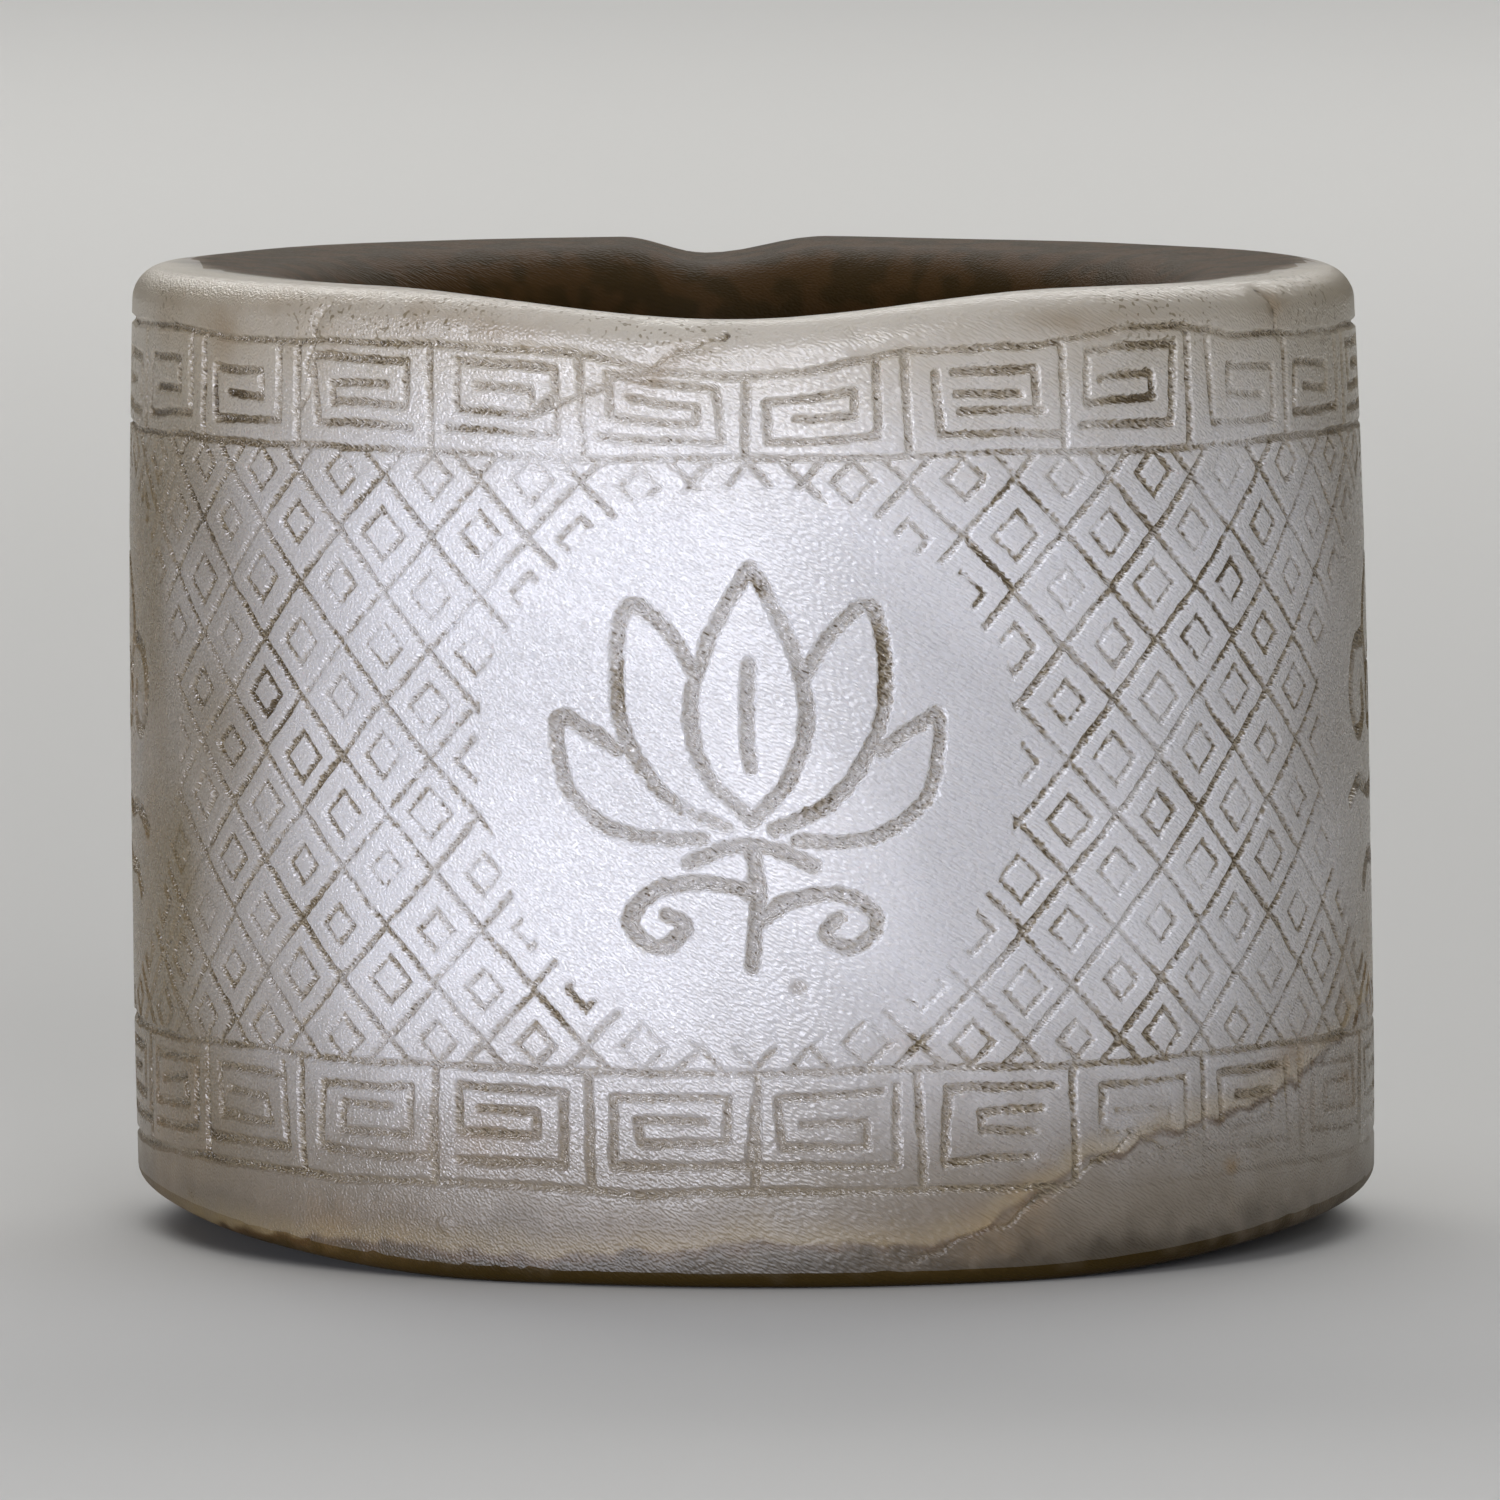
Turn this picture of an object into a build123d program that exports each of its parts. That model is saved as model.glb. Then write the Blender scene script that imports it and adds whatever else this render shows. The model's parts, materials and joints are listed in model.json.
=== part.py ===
"""Archer's thumb ring, carved from one piece of pale nephrite.

A thick tube that slides over the thumb. Its outside is slightly barrelled and narrows towards
the rim, its bore is straight with a flared mouth at each end, and both ends are hand ground:
the base is flat along a strip from front to back and lifts towards the two sides, and the rim
dips at the front and has a small nick at the back. Four engraved border lines run round the
wall and frame the two carved bands.

Millimetres, +Z up along the bore. The base strip lies on z = 0, with the axis at x = y = 0.
The front, where the rim dips, faces -Y.
"""
import os

from build123d import *

# Driving dimensions of the wall
belly_diameter = 32.0
belly_level = 6.0
rim_diameter = 31.38
base_diameter = 31.86
bore_diameter = 21.5
height = 24.7
wall_fullness = 2.5

# Rounding of the four end edges
rim_round = 0.9
base_round = 0.4
rim_mouth_round = 1.8
base_mouth_round = 1.2

# Base: width of the flat strip, and how far the sides lift off the table
foot_strip_width = 12.0
side_lift = 1.1

# Rim: the dip in front and the nick behind
dip_width = 17.2
dip_depth = 0.65
dip_offset = -0.5
nick_width = 6.6
nick_depth = 0.45
nick_offset = -0.9

# Engraved border lines: distances from the base strip and from the rim
base_border_levels = (2.4, 5.4)
rim_border_drops = (1.4, 4.0)
line_width = 0.25
line_depth = 0.18

# Rough stock beyond each end, ground away by the cutters
stock_allowance = 2.0

# Shares of a dip's half width and of its depth, from its edge to its middle
DIP_SHAPE = (
    # across, down
    (0.00, 0.00),
    (0.35, 0.28),
    (0.70, 0.78),
    (1.00, 1.00),
)

belly_radius = belly_diameter / 2
rim_radius = rim_diameter / 2
base_radius = base_diameter / 2
bore_radius = bore_diameter / 2
wall_steps = 8


def wall_radius(level):
    """Outside radius at a height: fullest at the belly, drawing in to the rim and the base."""
    if level > belly_level:
        share = (level - belly_level) / (height - belly_level)
        return belly_radius - (belly_radius - rim_radius) * share**wall_fullness
    share = (belly_level - level) / belly_level
    return belly_radius - (belly_radius - base_radius) * share**2


# The stock's ends, and a distance from the axis that is clear of it all round
low = -stock_allowance
high = height + stock_allowance
beyond = max(wall_radius(low), belly_radius, wall_radius(high)) + stock_allowance


def turned_stock():
    """The tube before its ends are ground: the barrelled outside turned round a straight bore."""
    levels = [low + (high - low) * step / wall_steps for step in range(wall_steps + 1)]
    outside = [(wall_radius(level), level) for level in levels]
    with BuildPart() as stock:
        with BuildSketch(Plane.XZ):
            with BuildLine():
                Spline(*outside)
                Polyline(outside[-1], (bore_radius, high), (bore_radius, low), outside[0])
            make_face()
        revolve(axis=Axis.Z)
    return stock.part


def ground_base():
    """What is ground off the base: all below a flat strip that curves up towards both sides."""
    half_strip = foot_strip_width / 2
    lift_beyond = side_lift * ((beyond - half_strip) / (base_radius - half_strip)) ** 2
    slope_beyond = 2 * lift_beyond / (beyond - half_strip)
    floor = low - stock_allowance
    with BuildPart() as cutter:
        with BuildSketch(Plane.XZ):
            with BuildLine():
                for side in (-1, 1):
                    Spline(
                        (side * half_strip, 0),
                        (side * (half_strip + base_radius) / 2, side_lift / 4),
                        (side * base_radius, side_lift),
                        (side * beyond, lift_beyond),
                        tangents=[(side, 0), (side, slope_beyond)],
                    )
                Line((-half_strip, 0), (half_strip, 0))
                Polyline(
                    (-beyond, lift_beyond), (-beyond, floor), (beyond, floor), (beyond, lift_beyond)
                )
            make_face()
        extrude(amount=beyond, both=True)
    return cutter.part


def ground_rim(middle, width, depth, toward):
    """What is ground off one half of the rim: all above a level edge with one smooth dip."""
    half_width = width / 2
    top = high + stock_allowance
    left = [(middle - half_width * (1 - across), height - depth * down) for across, down in DIP_SHAPE]
    right = [(2 * middle - x, level) for x, level in reversed(left[:-1])]
    with BuildPart() as cutter:
        with BuildSketch(Plane.XZ):
            with BuildLine():
                Line((-beyond, height), left[0])
                Spline(*left, *right, tangents=[(1, 0), (1, 0)])
                Line(right[-1], (beyond, height))
                Polyline((beyond, height), (beyond, top), (-beyond, top), (-beyond, height))
            make_face()
        extrude(amount=beyond, dir=(0, toward, 0))
    return cutter.part


def border_line(level):
    """One engraved line: a shallow V that runs round the wall at a height."""
    radius = wall_radius(level)
    with BuildPart() as groove:
        with BuildSketch(Plane.XZ):
            Polygon(
                (radius - line_depth, level),
                (radius + line_depth, level + line_width),
                (radius + line_depth, level - line_width),
                align=None,
            )
        revolve(axis=Axis.Z)
    return groove.part


def end_loop(ring, radius, level):
    """The edges that run round one end of the ring, near a radius and a height."""
    slack = (rim_radius - bore_radius) / 4

    def on_loop(edge):
        middle = edge.position_at(0.5)
        away = (middle.X**2 + middle.Y**2) ** 0.5
        return abs(away - radius) < slack and abs(middle.Z - level) < height / 4

    return ring.edges().filter_by(on_loop)


def thumb_ring():
    """The whole ring: stock, ground ends, rounded edges and engraved lines."""
    ring = turned_stock()
    ring -= ground_base()
    ring -= ground_rim(dip_offset, dip_width, dip_depth, -1)
    ring -= ground_rim(nick_offset, nick_width, nick_depth, 1)
    ring = fillet(end_loop(ring, rim_radius, height), rim_round)
    ring = fillet(end_loop(ring, base_radius, 0), base_round)
    ring = fillet(end_loop(ring, bore_radius, height), rim_mouth_round)
    ring = fillet(end_loop(ring, bore_radius, 0), base_mouth_round)
    for level in base_border_levels:
        ring -= border_line(level)
    for drop in rim_border_drops:
        ring -= border_line(height - drop)
    return ring


os.makedirs("parts", exist_ok=True)
export_step(thumb_ring(), "parts/thumb_ring.step")
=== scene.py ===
"""Archer's thumb ring of pale carved nephrite, standing on its end on a pale floor.

Angles run round the bore from the front, -Y, towards +X. The stone is worked out in
millimetres. Its mesh, the material's nodes, the floor, the lights and the camera are in metres.
"""
import json
import math

import bpy
import numpy as np
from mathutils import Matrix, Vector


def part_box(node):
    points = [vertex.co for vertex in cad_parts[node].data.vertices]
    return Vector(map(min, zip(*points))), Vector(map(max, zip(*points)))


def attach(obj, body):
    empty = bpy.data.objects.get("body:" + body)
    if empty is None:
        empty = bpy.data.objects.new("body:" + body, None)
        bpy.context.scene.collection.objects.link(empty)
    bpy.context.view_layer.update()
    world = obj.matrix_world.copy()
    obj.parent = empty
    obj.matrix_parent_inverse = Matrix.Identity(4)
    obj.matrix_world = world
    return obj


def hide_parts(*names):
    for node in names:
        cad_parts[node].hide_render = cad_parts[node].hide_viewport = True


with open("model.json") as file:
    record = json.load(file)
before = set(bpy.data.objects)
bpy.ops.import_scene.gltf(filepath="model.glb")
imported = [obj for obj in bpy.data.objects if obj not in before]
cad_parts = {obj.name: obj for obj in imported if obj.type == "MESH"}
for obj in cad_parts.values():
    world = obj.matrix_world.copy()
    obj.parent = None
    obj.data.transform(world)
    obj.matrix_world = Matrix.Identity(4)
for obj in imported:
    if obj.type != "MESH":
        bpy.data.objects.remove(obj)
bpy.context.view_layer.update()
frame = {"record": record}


# The turned ring: one thick tube of nephrite with a slightly barrelled wall and a straight bore
# with soft mouths. Its ends are ground by hand: the base is flat along a strip from front to
# back, and the rim has a long dip in front and a short nick behind.
MM = 0.001
BOX_HIGH = np.array(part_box("thumb_ring")[1]) / MM
HEIGHT = BOX_HIGH[2]
BELLY_RADIUS = BOX_HIGH[0]
BELLY_LEVEL = 6.0
RIM_RADIUS = BELLY_RADIUS - 0.31
BASE_RADIUS = BELLY_RADIUS - 0.07
BORE_RADIUS = frame["record"]["mounts"][0]["dims"]["r_mm"]
RIM_ROUND = 0.9
BASE_ROUND = 0.45
RIM_MOUTH = 1.8
BASE_MOUTH = 1.2
RIM_CROWN = 0.12
HALF_STRIP = 6.0
SIDE_LIFT = 1.1
DIP_MIDDLE, DIP_HALF, DIP_DEPTH = -0.5, 8.6, 0.65
NICK_MIDDLE, NICK_LEFT, NICK_RIGHT, NICK_DEPTH = -1.0, 2.3, 3.3, 0.45
ROUND_STEPS = 2100
WALL_STEPS = 450
ROUNDING_STEPS = 14
FLAT_STEPS = 24
MOUTH_STEPS = 18
BORE_STEPS = 60


def waves(x, y, z, length, seed, count=9):
    """Smooth unevenness, about -1 to 1: a sum of sines along random directions, with wavelengths
    from 0.7 to 1.5 times the given length, over the root of half their number."""
    draw = np.random.default_rng(seed)
    ways = draw.normal(size=(count, 3))
    ways /= np.linalg.norm(ways, axis=1)[:, None]
    ways *= 2 * math.pi / (length * draw.uniform(0.7, 1.5, (count, 1)))
    starts = draw.uniform(0, 2 * math.pi, count)
    total = sum(np.sin(a * x + b * y + c * z + start) for (a, b, c), start in zip(ways, starts))
    return total / math.sqrt(count / 2)


def bell(offset, half):
    """A smooth hump: one half plus half the cosine of pi times the offset over the half width,
    and nothing past it."""
    return 0.5 + 0.5 * np.cos(math.pi * np.clip(offset / half, -1, 1))


def rim_level(x, y):
    """Height of the rim: the ring's height less a long bell in front and a short one behind."""
    dip = DIP_DEPTH * bell(x - DIP_MIDDLE, DIP_HALF) * (y < 0)
    nick_half = np.where(x < NICK_MIDDLE, NICK_LEFT, NICK_RIGHT)
    nick = NICK_DEPTH * bell(x - NICK_MIDDLE, nick_half) * (y > 0)
    return HEIGHT - dip - nick


def base_level(x):
    """Height of the base: zero along the strip, then rising as the square of the way past it."""
    past = np.maximum(np.abs(x) - HALF_STRIP, 0) / (BASE_RADIUS - HALF_STRIP)
    return SIDE_LIFT * past**2


def wall_radius(level):
    """Outside radius: full at the belly, less by the power 2.5 of the way up to the rim, and by
    the square of the way down to the base."""
    up = np.maximum(level - BELLY_LEVEL, 0) / (HEIGHT - BELLY_LEVEL)
    down = np.maximum(BELLY_LEVEL - level, 0) / BELLY_LEVEL
    return BELLY_RADIUS - (BELLY_RADIUS - RIM_RADIUS) * up**2.5 - (BELLY_RADIUS - BASE_RADIUS) * down**2


def shares(steps):
    """A column of even shares from 0 up to, but not including, 1."""
    return (np.arange(steps) / steps)[:, None]


# The section's runs in order: wall, rim rounding, rim, mouth, bore, lower mouth, base, rounding.
# Each is a column of radii and levels for every angle, and a quarter turn goes by sine and cosine.
around = (np.arange(ROUND_STEPS) / ROUND_STEPS * 2 * math.pi)[None, :]
side, ahead = np.sin(around), -np.cos(around)
wall_foot = base_level(BASE_RADIUS * side) + BASE_ROUND
wall_head = rim_level(RIM_RADIUS * side, ahead) - RIM_ROUND
wall_level = wall_foot + (wall_head - wall_foot) * shares(WALL_STEPS)
rim_edge, base_edge = wall_radius(wall_head), wall_radius(wall_foot)
turn = shares(ROUNDING_STEPS) * math.pi / 2
rim_corner = rim_edge - RIM_ROUND * (1 - np.cos(turn))
flat = shares(FLAT_STEPS)
rim_flat = rim_edge - RIM_ROUND + (BORE_RADIUS + RIM_MOUTH - rim_edge + RIM_ROUND) * flat
base_flat = BORE_RADIUS + BASE_MOUTH + (base_edge - BASE_ROUND - BORE_RADIUS - BASE_MOUTH) * flat
curl = shares(MOUTH_STEPS) * math.pi / 2
mouth = BORE_RADIUS + RIM_MOUTH * (1 - np.sin(curl)) + 0 * side
bore_head = rim_level(BORE_RADIUS * side, ahead) - RIM_MOUTH
bore_foot = base_level(BORE_RADIUS * side) + BASE_MOUTH
bore_level = bore_head + (bore_foot - bore_head) * shares(BORE_STEPS)
foot_mouth = BORE_RADIUS + BASE_MOUTH * (1 - np.cos(curl)) + 0 * side
base_corner = base_edge - BASE_ROUND * (1 - np.sin(turn))
runs = [
    (wall_radius(wall_level), wall_level),
    (rim_corner, rim_level(rim_corner * side, ahead) - RIM_ROUND * (1 - np.sin(turn))),
    (rim_flat, rim_level(rim_flat * side, ahead) - RIM_CROWN * flat**2),
    (mouth, rim_level(mouth * side, ahead) - RIM_CROWN - (RIM_MOUTH - RIM_CROWN) * (1 - np.cos(curl))),
    (BORE_RADIUS + 0 * bore_level, bore_level),
    (foot_mouth, base_level(foot_mouth * side) + BASE_MOUTH * (1 - np.sin(curl))),
    (base_flat, base_level(base_flat * side)),
    (base_corner, base_level(base_corner * side) + BASE_ROUND * (1 - np.cos(turn))),
]
radius = np.concatenate([run[0] for run in runs])
Z = np.concatenate([run[1] for run in runs])
X, Y = radius * side, radius * ahead


# The engraving, cut with a small wheel: round-bottomed strokes with crisp, slightly ragged lips.
# Depths are worked out on the unrolled wall, by the arc in millimetres and the level, and the
# arc and the level wander a little, because the hand does.
LINE_HALF, LINE_DEPTH = 0.13, 0.115
engraved = slice(0, WALL_STEPS + ROUNDING_STEPS)
wall = X[engraved], Y[engraved], Z[engraved]
arc = ((around + math.pi) % (2 * math.pi) - math.pi) * BELLY_RADIUS + 0 * Z[engraved]
level = Z[engraved]
ARC = arc + 0.035 * waves(*wall, 7.0, 11) + 0.014 * waves(*wall, 1.3, 12)
LEVEL = level + 0.035 * waves(*wall, 7.0, 13) + 0.014 * waves(*wall, 1.3, 14)
ragged = 1 + 0.05 * waves(*wall, 0.7, 15) + 0.06 * waves(*wall, 0.2, 16)
cut = np.zeros_like(arc)


def wheel_cut(distance, half, depth=LINE_DEPTH):
    """Depth of a stroke at a distance from its middle line: one minus the square of the distance
    over the half width, which gives a round bottom and a crisp lip."""
    return depth * np.maximum(1 - (distance / half) ** 2, 0)


def engrave(where, depth):
    """Deepens the wall to the new cut, over the given part, where that is deeper."""
    cut[where] = np.maximum(cut[where], depth)


# Border lines, cut right round the wall: one each side of both bands. The top one follows the
# dip in the rim and rises a little where the wall is worn.
BORDERS = (2.4, 5.4, 20.7)
TOP_BORDER = [
    # angle, level
    (-30, 23.35), (-14, 23.25), (-8, 22.85), (-2, 22.72), (6, 22.85), (14, 23.25), (28, 23.4),
    (37, 23.75), (44, 23.7), (52, 23.35), (110, 23.3), (180, 23.4), (240, 23.3), (300, 23.4),
]
degrees = np.degrees(arc / BELLY_RADIUS)


def by_angle(table, degrees):
    """The value at each angle, straight from one point of the table to the next, round the wall."""
    return np.interp(degrees, *zip(*table), period=360)


top_border = by_angle(TOP_BORDER, degrees)
for border in (*BORDERS, top_border):
    engrave(slice(None), wheel_cut(LEVEL - border, LINE_HALF * ragged))


# The lattice between the bands: diamonds ten degrees wide, each with a smaller one inside. The
# cutter carried the lines through in one direction and filled in the other with short strokes
# from crossing to crossing, which don't quite meet.
CELL_ARC = math.radians(5) * BELLY_RADIUS
CELL_RISE = 1.405
MIDDLE_LEVEL = 13.05
CELL_ACROSS = CELL_ARC * CELL_RISE / math.hypot(CELL_ARC, CELL_RISE)
SMALL_DIAMOND = 0.39
MEDALLION_RADIUS = 6.9
QUARTER = math.pi / 2 * BELLY_RADIUS
LUCK = np.random.default_rng(21).uniform(-1, 1, (7, 72, 72))


def luck(kind, first, second):
    """A fixed random number from -1 to 1 for each pair of whole numbers, the same each 72 round."""
    return LUCK[kind, first.astype(int) % 72, second.astype(int) % 72]


def lattice(arc, level, ragged):
    """Depth of the lattice. The sum and the difference of the two cell coordinates are odd on the
    long lines, and both are even in the middle of a diamond, round which the sum of the two
    coordinates' sizes is constant on the small one."""
    p, q = arc / CELL_ARC - 1, (level - MIDDLE_LEVEL) / CELL_RISE
    falls, climbs = p + q, p - q
    left_of_medallion = np.sin(2 * arc / BELLY_RADIUS) < 0
    depth = 0
    for across, along, whole in (falls, climbs, left_of_medallion), (climbs, falls, ~left_of_medallion):
        line = 2 * np.floor(across / 2) + 1
        piece = 2 * np.floor((along + 1) / 2)
        shift = np.where(whole, 0.015, 0.07) * luck(0, line, piece)
        reach = np.where(whole, 2, 0.90 + 0.09 * luck(1, line, piece))
        past = np.maximum(np.abs((along + 1) % 2 - 1) - reach, 0)
        off = np.hypot(across - line - shift, past) * CELL_ACROSS
        weight = np.where(whole, 1, 0.85) + 0.15 * luck(2, line, piece)
        depth = np.maximum(depth, wheel_cut(off, LINE_HALF * ragged, LINE_DEPTH * weight))
    near, far = 2 * np.round(falls / 2), 2 * np.round(climbs / 2)
    to_right = p - (near + far) / 2 - 0.05 * luck(3, near, far)
    to_top = q - (near - far) / 2 - 0.05 * luck(4, near, far)
    edge = near + 3 * (to_right > 0) + 7 * (to_top > 0)
    reach = SMALL_DIAMOND * (1 + 0.14 * luck(5, near, far) + 0.08 * luck(0, edge, far))
    off = np.abs(np.abs(to_right) + np.abs(to_top) - reach) * CELL_ACROSS
    weight = 0.78 + 0.34 * luck(6, edge, far)
    return np.maximum(depth, wheel_cut(off, 0.9 * LINE_HALF * ragged, LINE_DEPTH * weight))


band = (level > BORDERS[1] - 0.2) & (level < BORDERS[2] + 0.2)
medallion = np.round(arc / QUARTER)
from_middle = np.hypot(arc - medallion * QUARTER, level - MIDDLE_LEVEL)
outside = np.clip((from_middle - MEDALLION_RADIUS - 0.08 * waves(*wall, 1.6, 22)) / 0.12, 0, 1)
outside *= np.clip((LEVEL - BORDERS[1]) / 0.1, 0, 1) * np.clip((BORDERS[2] - LEVEL) / 0.1, 0, 1)
engrave(band, lattice(ARC[band], LEVEL[band], ragged[band]) * outside[band])


# The fret bands: twenty-four squared spirals above the lattice and as many below, each fifteen
# degrees wide and cut in straight strokes. No two are quite alike, and some turn the other way.
UNIT = math.radians(15) * BELLY_RADIUS
FRETS = {
    # strokes as corners: shares across the unit and up the band
    "two": [[(0.82, 0.94), (0.82, 0.21), (0.14, 0.21), (0.14, 0.70), (0.65, 0.70), (0.65, 0.45),
             (0.28, 0.45)]],
    "five": [[(0.14, 0.21), (0.85, 0.21), (0.85, 0.84), (0.17, 0.84), (0.17, 0.42), (0.69, 0.42),
              (0.69, 0.63), (0.31, 0.63)]],
    "hook": [[(0.18, 0.80), (0.18, 0.18), (1.0, 0.18)], [(0.32, 0.78), (0.83, 0.78), (0.83, 0.38)],
             [(0.30, 0.58), (0.70, 0.58)], [(0.33, 0.39), (0.83, 0.39)]],
    "coil": [[(0.97, 0.82), (0.97, 0.23), (0.17, 0.23), (0.17, 0.80), (0.84, 0.80), (0.84, 0.40),
              (0.33, 0.40), (0.33, 0.62), (0.70, 0.62)]],
    "nest": [[(0.84, 0.88), (0.84, 0.20), (0.0, 0.20)],
             [(0.76, 0.81), (0.15, 0.81), (0.16, 0.38), (0.68, 0.40), (0.68, 0.60), (0.29, 0.60)]],
    "bracket": [[(0.87, 0.82), (0.16, 0.80), (0.16, 0.24), (0.75, 0.24)],
                [(0.77, 0.66), (0.39, 0.64), (0.37, 0.47), (0.74, 0.47)]],
}
# In order round the wall from the middle of the back; a minus turns the form the other way
UPPER_FRETS = (
    "two five -five two hook five -two two two -five five five "
    "two hook five -two two five -five two hook five -two five"
).split()
LOWER_FRETS = (
    "coil nest five coil -five nest coil five nest coil five coil "
    "nest bracket five nest coil five -coil nest five coil nest five"
).split()


def to_path(u, v, corners):
    """Distance to the nearest stretch of a path: the share along a stretch is the dot product
    with it over its squared length, held between 0 and 1."""
    nearest = np.full(u.shape, 99.0)
    for (u0, v0), (u1, v1) in zip(corners[:-1], corners[1:]):
        run, rise = u1 - u0, v1 - v0
        share = np.clip(((u - u0) * run + (v - v0) * rise) / (run**2 + rise**2), 0, 1)
        nearest = np.minimum(nearest, np.hypot(u - u0 - run * share, v - v0 - rise * share))
    return nearest


def fret_band(order, foot, head, seed):
    """Cuts one band: in each unit the strokes of its form, with their corners shifted a little,
    and the upright line that parts it from the unit before."""
    draw = np.random.default_rng(seed)
    rise = np.median(head) - foot
    within = (level > foot - 0.3) & (level < np.median(head) + 0.7)
    for place, name in enumerate(order):
        start = (place - 12) * UNIT
        from_start = (ARC - start + 2 * QUARTER) % (4 * QUARTER) - 2 * QUARTER
        here = within & (from_start > -0.4) & (from_start < UNIT + 0.4)
        u, v = from_start[here], (LEVEL[here] - foot) / (head[here] - foot) * rise
        half = 1.12 * LINE_HALF * ragged[here]
        depth = LINE_DEPTH * draw.uniform(0.95, 1.25)
        upright = draw.uniform(-0.08, 0.08, 2)
        line = [(upright[0], 0), (upright[1], rise)]
        engrave(here, wheel_cut(to_path(u, v, line), half, depth))
        if name.startswith("-"):
            u = UNIT - u
        for corners in FRETS[name.lstrip("-")]:
            slips = draw.uniform(-0.025, 0.025, (len(corners), 2))
            path = [((a + slip[0]) * UNIT, (b + slip[1]) * rise) for (a, b), slip in zip(corners, slips)]
            engrave(here, wheel_cut(to_path(u, v, path), half, depth))


fret_band(UPPER_FRETS, BORDERS[2], top_border, 31)
fret_band(LOWER_FRETS, BORDERS[0], BORDERS[1] + 0 * level, 32)


# The medallions: four round fields left smooth between the lattice, at the front, the back and
# both sides. Two hold a lotus on its stem and two a curling cloud, in strokes twice as wide.
MOTIF_HALF, MOTIF_DEPTH = 0.23, 0.17
LOTUS = [
    [(0.05, -1.35), (-1.0, -0.25), (-1.45, 1.35), (-0.95, 3.2), (0.05, 4.95)],
    [(0.05, -1.35), (1.05, -0.20), (1.50, 1.40), (1.00, 3.25), (0.05, 4.95)],
    [(-0.55, -1.55), (-2.05, -0.85), (-3.15, 0.75), (-3.35, 2.5), (-3.0, 4.0), (-1.95, 3.3), (-1.35, 2.3)],
    [(0.60, -1.55), (2.10, -0.80), (3.20, 0.80), (3.40, 2.55), (3.05, 3.95), (2.05, 3.25), (1.45, 2.3)],
    [(-1.15, -1.85), (-3.10, -1.75), (-4.50, -0.75), (-4.85, 1.15), (-4.05, 0.85), (-3.35, 0.35)],
    [(1.20, -1.85), (3.10, -1.70), (4.50, -0.70), (4.80, 1.20), (4.05, 0.90), (3.35, 0.40)],
    [(0.05, 0.0), (0.00, 1.2), (0.05, 2.6)],
    [(-1.55, -2.45), (0.0, -1.95), (1.60, -2.45)],
    [(0.05, -2.05), (0.20, -3.2), (-0.05, -5.0)],
    [(0.15, -3.25), (-0.9, -2.95), (-2.35, -3.15), (-3.05, -3.95), (-2.35, -4.55), (-1.65, -4.05),
     (-2.10, -3.75)],
    [(0.12, -3.95), (1.0, -3.35), (2.35, -3.20), (3.15, -3.80), (2.65, -4.55), (1.85, -4.25),
     (2.20, -3.80)],
]
CLOUD = [
    [(0.0, 0.1), (-0.15, 1.3), (-1.2, 1.75), (-2.0, 1.0), (-1.75, 0.1), (-1.0, 0.15), (-1.05, 0.85)],
    [(0.0, 0.1), (0.15, 1.3), (1.2, 1.8), (2.05, 1.05), (1.8, 0.1), (1.05, 0.15), (1.05, 0.9)],
    [(-2.0, 1.3), (-2.6, 2.6), (-1.6, 3.9), (0.0, 4.5), (1.6, 3.95), (2.65, 2.65), (2.05, 1.35)],
    [(-2.65, 2.3), (-3.9, 2.1), (-4.4, 0.9), (-3.7, -0.1), (-2.8, 0.3), (-3.0, 1.0)],
    [(2.7, 2.3), (3.95, 2.05), (4.45, 0.85), (3.75, -0.1), (2.85, 0.3), (3.05, 1.0)],
    [(0.0, 0.1), (-0.5, -1.2), (-2.0, -1.7), (-3.6, -1.4), (-4.6, -1.9)],
    [(0.0, 0.1), (0.45, -1.3), (0.2, -2.6), (-0.9, -3.4), (-2.4, -3.3), (-3.2, -4.0)],
    [(0.45, -1.4), (1.6, -2.2), (3.1, -2.1), (4.3, -2.6)],
    [(0.35, -2.6), (1.5, -3.6), (2.7, -3.7), (3.4, -4.3)],
]


def smooth_path(points, steps=10):
    """A smooth line through points: between two, the cubic whose slope at each of them is half
    the step between its two neighbours."""
    p = np.array([points[0], *points, points[-1]], float)
    t = shares(steps)
    spans = [
        b + t * (c - a) / 2 + t**2 * (a - 2.5 * b + 2 * c - 0.5 * d) + t**3 * (1.5 * (b - c) + (d - a) / 2)
        for a, b, c, d in zip(p, p[1:], p[2:], p[3:])
    ]
    return np.concatenate([*spans, p[-1:]])


for quarter, motif in enumerate((LOTUS, CLOUD, LOTUS, CLOUD)):
    here = (medallion % 4 == quarter) & (from_middle < MEDALLION_RADIUS - 0.8)
    u, v = (ARC - medallion * QUARTER)[here], LEVEL[here] - MIDDLE_LEVEL
    half = MOTIF_HALF * ragged[here]
    for line in motif:
        engrave(here, wheel_cut(to_path(u, v, smooth_path(line)), half, MOTIF_DEPTH))


# Wear and flaws: a russet vein runs round the foot and climbs at the right, below it the strokes
# are nearly worn away, and short cracks and chips break the bands and the rim.
VEIN = [
    # angle, level
    (-75, 0.6), (-39, 0.74), (-19, 0.68), (-5, 0.90), (1, 1.15), (8, 1.08), (14, 0.92), (19, 1.1),
    (23, 1.6), (26, 2.1), (32, 2.9), (38, 3.4), (47, 3.75), (53, 4.05), (60, 4.6), (66, 5.1), (71, 5.45),
    (88, 6.7), (110, 7.6), (135, 7.9), (160, 7.0), (180, 5.6), (205, 3.8), (230, 2.3), (258, 1.2),
]
VEIN_HALF, VEIN_DEPTH = 0.14, 0.08
WORN_FROM, WORN_TO, WORN_FADE, WORN_AWAY = -5, 140, 20, 0.72
RUBBED = [
    # angle, level, half angle, half rise, share of the depth rubbed away
    (-7, 23.1, 8, 0.9, 0.6), (40, 3.6, 14, 2, 0.5),
]
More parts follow.
